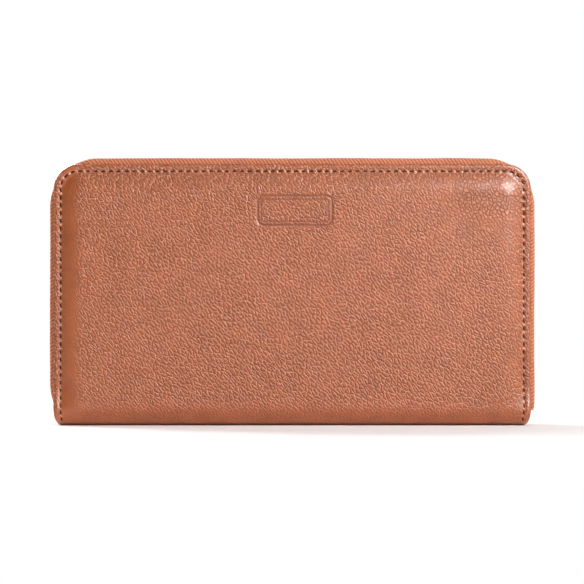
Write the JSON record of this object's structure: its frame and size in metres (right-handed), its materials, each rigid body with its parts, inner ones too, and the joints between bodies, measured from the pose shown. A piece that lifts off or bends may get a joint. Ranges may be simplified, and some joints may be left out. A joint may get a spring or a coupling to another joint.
{
  "type": "zip around wallet",
  "caption": "Long wallet with two padded leather halves on a leather spine, a zip round three edges, card slots, gussets and a zipped coin pocket.",
  "frame": {"origin": "centre of the spine's flat underside", "axes": "+X along the spine, the front faces -Y, +Z from the spine to the zip's top run"},
  "size_m": [0.1952, 0.025, 0.1075],
  "materials": {
    "outer_leather": "pebbled, semi-matt",
    "card_leather": "smooth, semi-matt",
    "lining_cloth": "fine twill",
    "padding_foam": "matt",
    "stiffener_board": "matt pressed board",
    "zip_tape": "fine diagonal weave",
    "zip_coil": "satin",
    "sewing_thread": "twisted",
    "zip_metal": "polished"
  },
  "bodies": {
    "spine": {"spine_leather": "outer_leather", "spine_stiffener": "stiffener_board", "spine_lining": "lining_cloth", "front_spine_fold": "outer_leather", "back_spine_fold": "outer_leather", "coin_pocket": "lining_cloth", "coin_zip_tape_front": "zip_tape", "coin_zip_tape_back": "zip_tape", "coin_zip_coil_front": "zip_coil", "coin_zip_coil_back": "zip_coil", "coin_zip_stop_left": "zip_metal", "coin_zip_stop_right": "zip_metal", "front_gusset_left": "lining_cloth", "front_gusset_right": "lining_cloth", "back_gusset_left": "lining_cloth", "back_gusset_right": "lining_cloth"},
    "front_half": {"front_cover": "outer_leather", "front_padding": "padding_foam", "front_board": "stiffener_board", "front_lining": "lining_cloth", "front_zip_tape": "zip_tape", "front_zip_coil": "zip_coil", "front_zip_top_stop": "zip_metal", "front_stitch_thread": "sewing_thread", "front_card_panel": "card_leather", "front_card_slot_1": "card_leather", "front_card_slot_2": "card_leather", "front_card_slot_3": "card_leather", "front_card_slot_4": "card_leather", "front_card_seam": "sewing_thread"},
    "back_half": {"back_cover": "outer_leather", "back_padding": "padding_foam", "back_board": "stiffener_board", "back_lining": "lining_cloth", "back_zip_tape": "zip_tape", "back_zip_coil": "zip_coil", "back_zip_top_stop": "zip_metal", "back_stitch_thread": "sewing_thread", "back_card_panel": "card_leather", "back_card_slot_1": "card_leather", "back_card_slot_2": "card_leather", "back_card_slot_3": "card_leather", "back_card_slot_4": "card_leather", "back_card_seam": "sewing_thread", "zip_bottom_stop": "zip_metal"},
    "zip_slider": {"zip_slider": "zip_metal", "zip_slider_bail": "zip_metal"},
    "zip_pull": {"zip_pull_link": "zip_metal", "zip_pull_tab": "outer_leather"},
    "coin_zip_slider": {"coin_zip_slider": "zip_metal", "coin_zip_slider_bail": "zip_metal"},
    "coin_zip_pull": {"coin_zip_pull": "zip_metal"}
  },
  "joints": [
    {"name": "front_open", "type": "hinge", "parent": "spine", "child": "front_half", "pos_m": [0, -0.0045, 0.008], "axis": [1, 0, 0], "range_deg": [0, 30], "deforming": ["front_spine_fold", "front_gusset_left", "front_gusset_right"]},
    {"name": "back_open", "type": "hinge", "parent": "spine", "child": "back_half", "pos_m": [0, 0.0045, 0.008], "axis": [-1, 0, 0], "range_deg": [0, 30], "deforming": ["back_spine_fold", "back_gusset_left", "back_gusset_right"]},
    {"name": "zip_slide", "type": "slide", "parent": "back_half", "child": "zip_slider", "axis": [0, 0, 1], "range_m": [0, 0.05]},
    {"name": "zip_pull_swing", "type": "hinge", "parent": "zip_slider", "child": "zip_pull", "pos_m": [0.09665, 0, 0.0291], "axis": [0, -1, 0], "range_deg": [0, 170]},
    {"name": "coin_zip_slide", "type": "slide", "parent": "spine", "child": "coin_zip_slider", "axis": [-1, 0, 0], "range_m": [0, 0.14]},
    {"name": "coin_pull_swing", "type": "hinge", "parent": "coin_zip_slider", "child": "coin_zip_pull", "pos_m": [0.07144, 0, 0.08179], "axis": [0, -1, 0], "range_deg": [0, 170]}
  ]
}
